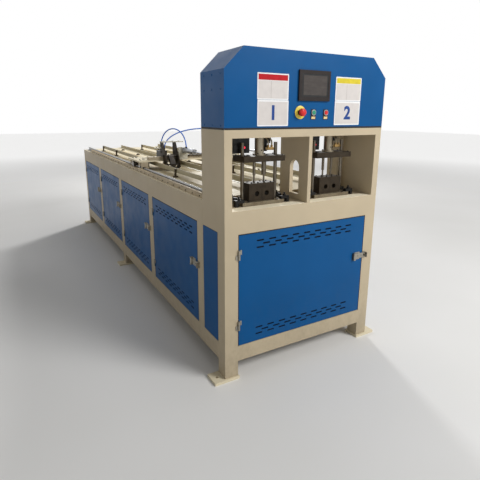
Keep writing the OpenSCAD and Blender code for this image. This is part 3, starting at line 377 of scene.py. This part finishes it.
# Widths of the edge roundings, in millimetres
EDGES = {
    "frame_posts": 5, "side_rails": 5, "cross_rails": 4, "foot_plates": 1.5,
    "table_plate": 1.5, "head_walls": 1.5, "head_crown": 1.5, "hood": 1.4, "hmi_panel": 2.5,
    "die_shoes": 0.8, "die_blocks": 0.8, "die_clamps": 1.2, "clamp_studs": 0.5, "cylinders": 2,
    "station_valves": 3, "oil_tank": 4, "pump_motor": 2, "control_box": 2, "head_door": 0.7,
    "platen_a": 1, "platen_b": 1, "ram_a": 0.8, "ram_b": 0.8, "estop_button": 1.5,
    "start_button": 1.5, "stop_button": 1.5, "carriage_plate": 1, "carriage_frame": 1.5,
    "bearing_blocks": 1, "gear_motor": 1.5, "gripper_cheeks": 0.8, "gripper_brackets": 0.8,
    "lower_jaws": 0.6, "gripper_rocker": 0.7, "grip_barrel": 1.2, "grip_rod": 0.5,
    "carriage_valves": 1.5, "head_latch": 0.5, "door_fittings": 0.4, "guide_angles": 0.6,
    "guide_posts": 0.6, "supported_rails": 0.5, "button_collars": 0.8, "drive_pinion": 0.25,
}
WIDE_EDGE = 2
EDGE_ANGLE = math.radians(50)
HINGE_PROUD = 0.1


def skin_door(name, obj):
    """Gives zinc to the faces of a door that stand proud of its sheet: its hinge leaves."""
    obj.data.materials.append(ZINC)
    along, front = (1, -HALF_LENGTH) if name == "head_door" else (0, -HALF_WIDTH)
    for face in obj.data.polygons:
        if face.center[along] * 1000 < front - HINGE_PROUD:
            face.material_index = 1


for name, obj in nodes.items():
    skin = SKINS[name]
    if not obj.data.materials:
        obj.data.materials.append(skin)
    for held in obj.material_slots:
        held.material = skin
    if "_door" in name:
        skin_door(name, obj)
    width = EDGES.get(name)
    if width:
        edge = obj.modifiers.new("edge", "BEVEL")
        edge.width = width / 1000
        edge.segments = 3 if width >= WIDE_EDGE else 2
        edge.limit_method = "ANGLE"
        edge.angle_limit = EDGE_ANGLE


# Mesh helpers: radii, heights and bevels are in metres

SINK = -0.0004
SHARP_ANGLE = math.radians(35)


def finish_piece(name, bm, mat, body, smooth=True):
    """Turns built faces into an object with a material, and lets it ride on a body."""
    mesh = bpy.data.meshes.new(name)
    bm.normal_update()
    bm.to_mesh(mesh)
    bm.free()
    mesh.materials.append(mat)
    if smooth:
        for poly in mesh.polygons:
            poly.use_smooth = True
        mesh.set_sharp_from_angle(angle=SHARP_ANGLE)
    obj = bpy.data.objects.new(name, mesh)
    scene.collection.objects.link(obj)
    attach(obj, body)
    return obj


def axis_turn(direction):
    """A rotation that takes Z to the direction."""
    return Vector((0, 0, 1)).rotation_difference(Vector(direction)).to_matrix().to_4x4()


def stand(point, direction):
    """A place with its local Z axis in the direction."""
    return Matrix.Translation(point) @ axis_turn(direction)


def skin_rings(bm, rings):
    """Closes rings of points into a tube with two end faces."""
    for low, high in zip(rings, rings[1:]):
        for i in range(len(low)):
            j = (i + 1) % len(low)
            bm.faces.new((low[i], low[j], high[j], high[i]))
    bm.faces.new(list(reversed(rings[0])))
    bm.faces.new(rings[-1])


def lathe(bm, points, matrix, steps):
    """Turns a profile of radius and height about the local Z axis."""
    angles = [2 * math.pi * i / steps for i in range(steps)]
    skin_rings(bm, [[bm.verts.new(matrix @ Vector((r * math.cos(a), r * math.sin(a), h)))
                     for a in angles] for r, h in points])


def cap_screw(bm, point, direction, r, h):
    """Socket head cap screw: chamfered head with a sunk socket."""
    lathe(bm, [(r, SINK), (r, h * 0.85), (r * 0.9, h), (r * 0.62, h), (r * 0.5, h * 0.4)],
          stand(point, direction), 12)


def dome_screw(bm, point, direction, r, h):
    """Low round-headed screw or rivet."""
    lathe(bm, [(r, SINK), (r, h * 0.3), (r * 0.86, h * 0.7), (r * 0.5, h * 0.95), (r * 0.1, h)],
          stand(point, direction), 12)


def hex_nut(bm, point, direction, r, h):
    """Hexagon nut or screw head with a chamfered top."""
    lathe(bm, [(r, SINK), (r, h * 0.85), (r * 0.86, h)], stand(point, direction), 6)


def slab(bm, low, high, bevel):
    """Box between two corners with rounded edges."""
    made = bmesh.ops.create_cube(bm, size=1.0)["verts"]
    for v in made:
        v.co = Vector(((low[i] + high[i]) / 2 + v.co[i] * (high[i] - low[i]) for i in range(3)))
    edges = list({e for v in made for e in v.link_edges})
    bmesh.ops.bevel(bm, geom=edges, offset=bevel, segments=2, affect="EDGES", profile=0.5)


def slab_piece(name, boxes, bevel, mat, body="machine"):
    """A flat-shaded piece made of slabs, each between two places on the machine."""
    bm = bmesh.new()
    for low, high in boxes:
        slab(bm, at(*low), at(*high), bevel)
    finish_piece(name, bm, mat, body, False)


def round_plate(bm, x0, x1, z0, z1, y0, y1, r, steps=6):
    """Plate with rounded corners that faces the front, in millimetres, y0 to the viewer."""
    loop = []
    for cx, cz, start in ((x1 - r, z1 - r, 0), (x0 + r, z1 - r, 90), (x0 + r, z0 + r, 180),
                          (x1 - r, z0 + r, 270)):
        for i in range(steps + 1):
            a = math.radians(start + 90 * i / steps)
            loop.append((cx + r * math.cos(a), cz + r * math.sin(a)))
    front = [bm.verts.new(at(x, y0, z)) for x, z in loop]
    back = [bm.verts.new(at(x, y1, z)) for x, z in loop]
    bm.faces.new(front)
    bm.faces.new(list(reversed(back)))
    for i in range(len(loop)):
        j = (i + 1) % len(loop)
        bm.faces.new((front[i], back[i], back[j], front[j]))


def plate_piece(name, plates, front, back, corner, mat):
    """Flat plates on the front of the machine, each by its limits in x and in z."""
    bm = bmesh.new()
    for x0, x1, z0, z1 in plates:
        round_plate(bm, x0, x1, z0, z1, front, back, corner)
    finish_piece(name, bm, mat, "machine", False)


def tube_along(bm, points, r, steps=12):
    """Round tube with closed ends along a list of points."""
    rings = []
    normal = None
    for i, p in enumerate(points):
        d = (points[min(i + 1, len(points) - 1)] - points[max(i - 1, 0)]).normalized()
        if normal is None:
            normal = d.orthogonal().normalized()
        normal = (normal - d * normal.dot(d)).normalized()
        side = d.cross(normal)
        rings.append([bm.verts.new(p + r * (math.cos(a) * normal + math.sin(a) * side))
                      for a in (2 * math.pi * k / steps for k in range(steps))])
    skin_rings(bm, rings)


def curve(c, n):
    """Points on a cubic curve with four control points."""
    out = []
    for i in range(n + 1):
        t = i / n
        out.append(c[0] * (1 - t) ** 3 + c[1] * 3 * t * (1 - t) ** 2
                   + c[2] * 3 * t * t * (1 - t) + c[3] * t ** 3)
    return out


# Air hoses, from the valve block on the carriage to the grip cylinders

HOSE_RADIUS = 0.005
HOSE_GAP = 0.4
HOSE_RISE = 225


def air_hose(tag, i):
    """Blue hose that stands in an arc over the carriage."""
    start_x, start_y = 255 + i * 30, CARRIAGE_Y + 140
    end_x, end_y = STATIONS[tag] + GRIP_X, CARRIAGE_Y - 100 - i * 60
    start_z = PLATE_TOP + VALVE_HEIGHT + HOSE_GAP
    end_z = BARREL_Z + BARREL_RADIUS + HOSE_GAP
    top = start_z + HOSE_RISE
    route = curve([at(start_x, start_y, start_z), at(start_x, start_y, top),
                   at(end_x, end_y, top), at(end_x, end_y, end_z)], 38)
    bm = bmesh.new()
    tube_along(bm, route, HOSE_RADIUS, 14)
    hose = finish_piece("hose_" + tag, bm, HOSE, "carriage")
    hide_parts("air_hose_" + tag)
    length = sum((b - a).length for a, b in zip(route, route[1:]))
    tuple(route[0])
    [tuple(p) for p in route]
    return route


routes = [air_hose(tag, i) for i, tag in enumerate(STATIONS)]

# Push-in fittings at both ends of the hoses

FITTING_BODY = ((0.0085, -0.001), (0.0085, 0.007), (0.0075, 0.009), (0.0052, 0.009))
FITTING_RING = ((0.0074, 0.0088), (0.0074, 0.0115), (0.0066, 0.0125), (0.0052, 0.0125))

bm_body, bm_ring = bmesh.new(), bmesh.new()
for route in routes:
    for p, q in ((route[0], route[1]), (route[-1], route[-2])):
        lathe(bm_body, FITTING_BODY, stand(p, q - p), 16)
        lathe(bm_ring, FITTING_RING, stand(p, q - p), 16)
finish_piece("fitting_bodies", bm_body, BLACK_PLASTIC, "carriage")
finish_piece("fitting_rings", bm_ring, HOSE, "carriage")

# Plates on the hood: bare fields with coloured bands, and plain station numbers

plate_piece("plate_backs", ((180, 365, 1496, 1621), (182, 367, 1368, 1495),
                            (676, 862, 1498, 1623), (676, 861, 1370, 1497)), -1.2, 0, 4, WHITE)
plate_piece("plate_fields", ((186, 359, 1502, 1586), (188, 361, 1374, 1486),
                             (682, 856, 1504, 1588), (682, 855, 1376, 1488)),
            -1.5, -1.1, 1.5, FIELD)
plate_piece("plate_band_red", ((186, 359, 1588, 1615),), -1.5, -1.1, 1.5, RED_BAND)
plate_piece("plate_band_yellow", ((682, 856, 1590, 1617),), -1.5, -1.1, 1.5, YELLOW_BAND)
plate_piece("plate_lines", ((260 - 0.7, 260 + 0.7, 1504, 1584),
                            (756 - 0.7, 756 + 0.7, 1506, 1586)), -1.8, -1.4, 0.3, FRAME_LINE)

NUMBER_SIZE = 0.096
NUMBER_THICKENING = 0.0034
NUMBER_Y = -1.6


def number(name, text, x, z):
    """A plain raised number on a plate."""
    font = bpy.data.curves.new(name, "FONT")
    font.body = text
    font.size = NUMBER_SIZE
    font.align_x = "CENTER"
    font.align_y = "CENTER"
    font.extrude = 0.0002
    font.offset = NUMBER_THICKENING
    font.resolution_u = 6
    made = bpy.data.objects.new(name + "_curve", font)
    scene.collection.objects.link(made)
    bpy.context.view_layer.update()
    depsgraph = bpy.context.evaluated_depsgraph_get()
    mesh = bpy.data.meshes.new_from_object(made.evaluated_get(depsgraph))
    bpy.data.objects.remove(made)
    mesh.transform(Matrix.Translation(at(x, NUMBER_Y, z)) @ Matrix.Rotation(math.pi / 2, 4, "X"))
    mesh.materials.clear()
    mesh.materials.append(NUMBER_BLUE)
    obj = bpy.data.objects.new(name, mesh)
    scene.collection.objects.link(obj)
    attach(obj, "machine")


number("station_number_1", "1", 274, 1430)
number("station_number_2", "2", 768, 1432)

# Operator panel: screen, yellow disc, legend fields, rings round the push buttons

ESTOP_DISC = ((0.0336, -0.0016), (0.0336, 0.0006), (0.033, 0.001), (0.0154, 0.001),
              (0.0154, 0.0002))
BEZEL = ((0.0148, -0.001), (0.0148, 0.0012), (0.0138, 0.002), (0.0122, 0.002), (0.0118, 0.0004))

plate_piece("screen_frame", ((444.4, 616.6, 1514.4, 1627.6),), -8.8, -8.4, 2, RUBBER)
plate_piece("screen_pane", ((453, 606, 1523, 1620),), -9.2, -8.7, 1.5, SCREEN)
bm = bmesh.new()
lathe(bm, ESTOP_DISC, stand(at(442, -2, BUTTONS_Z), FRONT), 48)
finish_piece("estop_disc", bm, YELLOW, "machine")
plate_piece("legend_fields", [(x - 12, x + 12, 1403, 1415) for x in BUTTONS_X],
            -2.7, -1.9, 1, LABEL)
bm = bmesh.new()
for x in BUTTONS_X:
    lathe(bm, BEZEL, stand(at(x, -5, BUTTONS_Z), FRONT), 32)
finish_piece("button_bezels", bm, ALU, "machine")

# Valve plugs with their lamps, cable channels and pipes under the crown

LAMP_DOME = ((0.0062, 0), (0.006, 0.002), (0.004, 0.0034), (0.001, 0.0038))
PIPE_RADIUS = 0.0045

bm_plug, bm_lamp, bm_pipe, bm_brass, bm_channel = (bmesh.new() for _ in range(5))
for c in STATIONS.values():
    for x in (c - 132, c - 84):
        slab(bm_plug, at(x - 14, 146.5, 1234), at(x + 14, 150.5, 1274), 0.0015)
    lathe(bm_lamp, LAMP_DOME, stand(at(c - 84, 146.6, 1254), FRONT), 20)
    slab(bm_channel, at(c - 46, 186, 1222), at(c - 31, 192, 1312), 0.001)
    for x in (c + 50, c + 72):
        y = 143
        bend = curve([at(x, y, 1312), at(x, y - 2, 1288), at(x + 8, y - 16, 1300),
                      at(x + 6, y - 14, 1262)], 16)
        tube_along(bm_pipe, bend, PIPE_RADIUS)
        hex_nut(bm_brass, at(x, y, 1312), DOWN, 0.0085, 0.012)
        hex_nut(bm_brass, at(x + 6, y - 14, 1250), UP, 0.0078, 0.014)
    slab(bm_brass, at(c + 46, 120, 1238), at(c + 88, 138, 1252), 0.0012)
    slab(bm_pipe, at(c + 56, 136, 1240), at(c + 76, 156, 1250), 0.001)
finish_piece("valve_plugs", bm_plug, BLACK_PLASTIC, "machine")
finish_piece("valve_lamps", bm_lamp, LAMP, "machine")
finish_piece("crown_pipes", bm_pipe, RAM, "machine")
finish_piece("crown_fittings", bm_brass, BRASS, "machine")
finish_piece("cable_channels", bm_channel, WHITE, "machine")

# Screws of the fixed parts: dies and shoes, rails, rack, guide angles, deck, hood

bm_cap, bm_dome, bm_hood = bmesh.new(), bmesh.new(), bmesh.new()
for c in STATIONS.values():
    for x in (c - 60, c - 20, c + 20, c + 60):
        for y in (107, 153):
            cap_screw(bm_cap, at(x, y, DIE_TOP), UP, 0.0042, 0.0045)
    for x in (c - 92, c + 92):
        for y in (STATION_Y - 47, STATION_Y + 47):
            cap_screw(bm_cap, at(x, y, SHOE_TOP), UP, 0.005, 0.005)
for x in reversed(RAILS_X):
    for i in range(24):
        for dx in (-16, 16):
            cap_screw(bm_cap, at(x + dx, 420 + i * 150, 973), UP, 0.004, 0.0042)
for i in range(31):
    cap_screw(bm_cap, at(15, 330 + i * 103, 980), LEFT, 0.0042, 0.003)
for c in STATIONS.values():
    for side in (-1, 1):
        for part in (0.0125, 0.22, 0.5, 0.78, 0.9875):
            dome_screw(bm_dome, at(c + side * 108, 380 + part * 3200, 1024), (-side, 0, 0),
                       0.0045, 0.0025)
for y in range(380, 3950, 350):
    for x in (102, 948):
        dome_screw(bm_dome, at(x, y, 975), UP, 0.0045, 0.0012)
for z in (1372, 1540, 1610):
    for y in (40, 131, 222):
        dome_screw(bm_hood, at(0, y, z), LEFT, 0.0045, 0.0022)
        dome_screw(bm_hood, at(HEAD_WIDTH, y, z), RIGHT, 0.0045, 0.0022)
for z, row in ((1372, (30, 280, 525, 770, 1020)), (1705, (180, 400, 650, 870))):
    for x in row:
        dome_screw(bm_hood, at(x, HOOD_BACK, z), BACK, 0.0045, 0.0022)
finish_piece("cap_screws", bm_cap, BLACK, "machine")
finish_piece("dome_screws", bm_dome, ZINC, "machine")
finish_piece("hood_screws", bm_hood, BLUE, "machine")

# Dark pads behind the vents of the doors and the right side panels: painted shade for the dark
# inside seen through the slots

VENT_SHADE_HEIGHT = 62
HEAD_VENTS = (227, 730)
BAY_VENTS = (245, 729)


def bay_vent_shade(i, near, far):
    """Both shade pads of a bay, between two depths in x."""
    y = bay_y(i)
    return [((near, y + 28, z), (far, y + 787, z + VENT_SHADE_HEIGHT)) for z in BAY_VENTS]


slab_piece("vent_filters_0", [((105, 2.9, z), (945, 6, z + VENT_SHADE_HEIGHT)) for z in HEAD_VENTS],
           0.001, VENT_SHADE, "head_door")
for i in range(BAYS):
    slab_piece("vent_filters_%d" % (i + 1), bay_vent_shade(i, 2.9, 6), 0.001, VENT_SHADE,
               "bed_door_%d" % (i + 1))
slab_piece("panel_vent_shade", [box for i in range(BAYS) for box in bay_vent_shade(i, 1044, 1047.1)],
           0.001, VENT_SHADE)

# Dark strips on the openings of the doors and side panels: painted shade for the shadow in the
# door gaps


def gap_shade_strips(place, a0, a1, z0, z1):
    """Dark strips of painted shade on the top and both sides of an opening, in the gap and a
    little over its edge.
    """
    for low, high in (((a0 - 1.5, z0), (a0 + 2.2, z1 + 2)), ((a1 - 2.2, z0), (a1 + 1.5, z1 + 2)),
                      ((a0 - 1.5, z1 - 2.2), (a1 + 1.5, z1 + 2.5))):
        yield place(-0.4, *low), place(9, *high)


strips = list(gap_shade_strips(lambda depth, x, z: (x, depth, z), *HEAD_OPENING))
for i in range(BAYS):
    opening = (bay_y(i), bay_y(i) + BAY_WIDTH, BAY_LOW, BAY_HIGH)
    strips += gap_shade_strips(lambda depth, y, z: (depth, y, z), *opening)
    strips += gap_shade_strips(lambda depth, y, z: (HEAD_WIDTH - depth, y, z), *opening)
slab_piece("door_gap_shade", strips, 0.0003, RUBBER)

# Hinge and latch screws, in metres from the hinge edge of the door

HINGES_Z = (0.292, 0.692)
LATCH_Z = 0.573
LEAF = 0.003
STRAP = 0.0075


def hinge_edge(i):
    """Place of the hinge edge, the directions along the door and out of it, and its width."""
    if i == 0:
        return at(83, 0, 0), Vector(RIGHT), Vector(FRONT), 0.884
    return at(0, bay_y(i - 1) + 812, 0), Vector(FRONT), Vector(LEFT), 0.809


for i in range(BAYS + 1):
    start, along, out, width = hinge_edge(i)

    def screw(bm, reach, depth, z, r, h):
        """A dome screw at a reach along the door, on a face that is out by a depth."""
        dome_screw(bm, start + along * reach + out * depth + Vector((0, 0, z)), out, r, h)

    bm_frame, bm_door, bm_strap = bmesh.new(), bmesh.new(), bmesh.new()
    for z in HINGES_Z:
        for dz in (0.006, 0.020):
            screw(bm_frame, -0.0135, LEAF, z + dz, 0.0026, 0.0012)
        for dz in (0.032, 0.046):
            screw(bm_door, 0.0105, LEAF, z + dz, 0.0026, 0.0012)
    for dx in (-0.055, -0.030):
        for dz in (-0.016, 0.016):
            screw(bm_door, width + dx, LEAF, LATCH_Z + dz, 0.0028, 0.0012)
    for dz in (-0.014, 0.014):
        screw(bm_frame, width + 0.012, LEAF, LATCH_Z + dz, 0.0022, 0.001)
    for dx in (-0.04, -0.012):
        screw(bm_strap, width + dx, STRAP, LATCH_Z, 0.0035, 0.0015)
    finish_piece("frame_screws_%d" % i, bm_frame, ZINC, "machine")
    finish_piece("door_screws_%d" % i, bm_door, ZINC, "bed_door_%d" % i if i else "head_door")
    finish_piece("strap_rivets_%d" % i, bm_strap, BRIGHT,
                 "bed_latch_%d" % i if i else "head_latch")

# Carriage fasteners, rail wipers and covers

bm_cap, bm_rubber, bm_cover = bmesh.new(), bmesh.new(), bmesh.new()
for x in RAILS_X:
    for y in (1580, 1790):
        for dx in (-14, 14):
            for dy in (-16, 16):
                cap_screw(bm_cap, at(x + dx, y + dy, PLATE_TOP), UP, 0.0045, 0.005)
        for dy in (-26.5, 25.2):
            slab(bm_rubber, at(x - 21, y + dy, 998), at(x + 21, y + dy + 1.4, 1011), 0.0006)
for x, y in ((106, 1670), (136, 1670), (106, 1710), (136, 1710)):
    cap_screw(bm_cap, at(x, y, PLATE_TOP), UP, 0.004, 0.0045)
for x in (150, 330, 525, 700, 900):
    cap_screw(bm_cap, at(x, 1536, 1082), UP, 0.0045, 0.005)
for c in STATIONS.values():
    for side in (-1, 1):
        for y, z in ((1556, 1120), (1556, 1176), (1470, 1040)):
            cap_screw(bm_cap, at(c + side * 58, y, z), (side, 0, 0), 0.004, 0.0045)
    for x in (c - 40, c + 40, c + 92):
        cap_screw(bm_cap, at(x, 1552, 1205), UP, 0.004, 0.0045)
    for x in (c - 100, c - 76):
        cap_screw(bm_cap, at(x, 1552, 1155), UP, 0.0038, 0.004)
    for dx in (-16, 16):
        for dz in (-16, 16):
            cap_screw(bm_cap, at(c + GRIP_X + dx, 1438, BARREL_Z + dz), FRONT, 0.0032, 0.004)
slab(bm_cover, at(104, 1800, 1041), at(132, 1834, 1044.8), 0.001)
for x in (262, 278):
    slab(bm_cover, at(x - 5, 1660, 1120), at(x + 5, 1720, 1124), 0.001)
finish_piece("carriage_screws", bm_cap, BLACK, "carriage")
finish_piece("rail_wipers", bm_rubber, RUBBER, "carriage")
finish_piece("valve_covers", bm_cover, HOUSING, "carriage")

# Screws of the platens and the ram feet

FLANGE_TOP = 1221
PLATEN_TOP = 1213

for tag, c in STATIONS.items():
    bm = bmesh.new()
    for k in range(4):
        a = math.radians(45 + 90 * k)
        cap_screw(bm, at(c + 30 * math.cos(a), STATION_Y + 30 * math.sin(a), FLANGE_TOP), UP,
                  0.0035, 0.004)
    for dx in (-118, 118):
        for dy in (-45, 45):
            cap_screw(bm, at(c + dx, STATION_Y + dy, PLATEN_TOP), UP, 0.004, 0.0045)
    finish_piece("platen_screws_" + tag, bm, BLACK, "platen_" + tag)

# Strips along the table front and the left ledge of the bed, near-white as a painted highlight of
# light falling on their tops

slab_piece("sill_highlight_strips", (((44, 1.2, 949.5), (510, 70, 950.6)),
                           ((537, 1.2, 949.5), (1006, 70, 950.6)),
                           ((0.8, 263, 968.1), (14.5, 3966, 968.8))), 0.0002, SILL_HIGHLIGHT)

# Black strips between the hood and the crown, on the front and both sides: painted shade for the
# shadow in the gap

slab_piece("hood_gap_shade", (((1.5, -0.5, 1352), (1048.5, 0.4, 1361.5)),
                         ((-0.5, 1.5, 1352), (0.4, 258, 1361.5)),
                         ((1049.6, 1.5, 1352), (1050.5, 258, 1361.5))), 0.0002, RUBBER)

# Floor, which turns white towards the horizon

FLOOR_HALF = 30
WHITE_FROM, WHITE_AT = 3.5, 12.0
WHITE_GLOW = 0.62

floor_mesh = bpy.data.meshes.new("floor")
bm = bmesh.new()
bmesh.ops.create_grid(bm, x_segments=2, y_segments=2, size=FLOOR_HALF)
bm.to_mesh(floor_mesh)
bm.free()
floor = bpy.data.objects.new("floor", floor_mesh)
scene.collection.objects.link(floor)
s = Shader("floor_pale")
s.feed("Base Color", s.ramp(s.noise(0.6, 3.0), 0.3, 0.7, srgb(226, 225, 222),
                            srgb(232, 231, 229)))
s.give("Roughness", 0.9)
away = s.node("ShaderNodeVectorMath", operation="LENGTH")
s.link(s.coord.outputs["Object"], away.inputs[0])
s.give("Emission Color", (1, 1, 1, 1))
s.feed("Emission Strength", s.span(away.outputs["Value"], WHITE_FROM, WHITE_AT, 0.0, WHITE_GLOW))
floor_mesh.materials.append(s.mat)

# World: white to the camera and in reflections, dim as a light

WORLD_LIGHT = 0.23

world = bpy.data.worlds.new("studio")
scene.world = world
world.use_nodes = True
tree = world.node_tree
background = tree.nodes["Background"]
path = tree.nodes.new("ShaderNodeLightPath")
strongest = path.outputs["Is Camera Ray"]
for other in ("Is Glossy Ray", "Is Transmission Ray"):
    pick = tree.nodes.new("ShaderNodeMath")
    pick.operation = "MAXIMUM"
    tree.links.new(strongest, pick.inputs[0])
    tree.links.new(path.outputs[other], pick.inputs[1])
    strongest = pick.outputs["Value"]
strength = tree.nodes.new("ShaderNodeMapRange")
strength.inputs["To Min"].default_value = WORLD_LIGHT
strength.inputs["To Max"].default_value = 1.0
tree.links.new(strongest, strength.inputs["Value"])
background.inputs["Color"].default_value = (1, 1, 1, 1)
tree.links.new(strength.outputs["Result"], background.inputs["Strength"])


def area(name, place, aim, size, power):
    """A soft rectangular lamp at a place in metres, turned to the aim."""
    light = bpy.data.lights.new(name, "AREA")
    light.shape = "RECTANGLE"
    light.size, light.size_y = size
    light.energy = power
    obj = bpy.data.objects.new(name, light)
    obj.matrix_world = stand(place, Vector(place) - Vector(aim))
    scene.collection.objects.link(obj)


area("key", (3.0, -6.5, 4.5), (0.0, -1.2, 0.9), (3.0, 2.2), 355)
area("fill", (-6.0, -1.5, 3.2), (0.0, 0.0, 0.6), (4.0, 2.5), 6)
area("top", (0.5, 0.5, 6.0), (0.0, 0.2, 0.9), (3.0, 5.0), 35)
area("back", (2.9, 4.8, 4.0), (0.0, 0.0, 0.9), (0.9, 0.7), 210)

scene.view_settings.view_transform = "Standard"
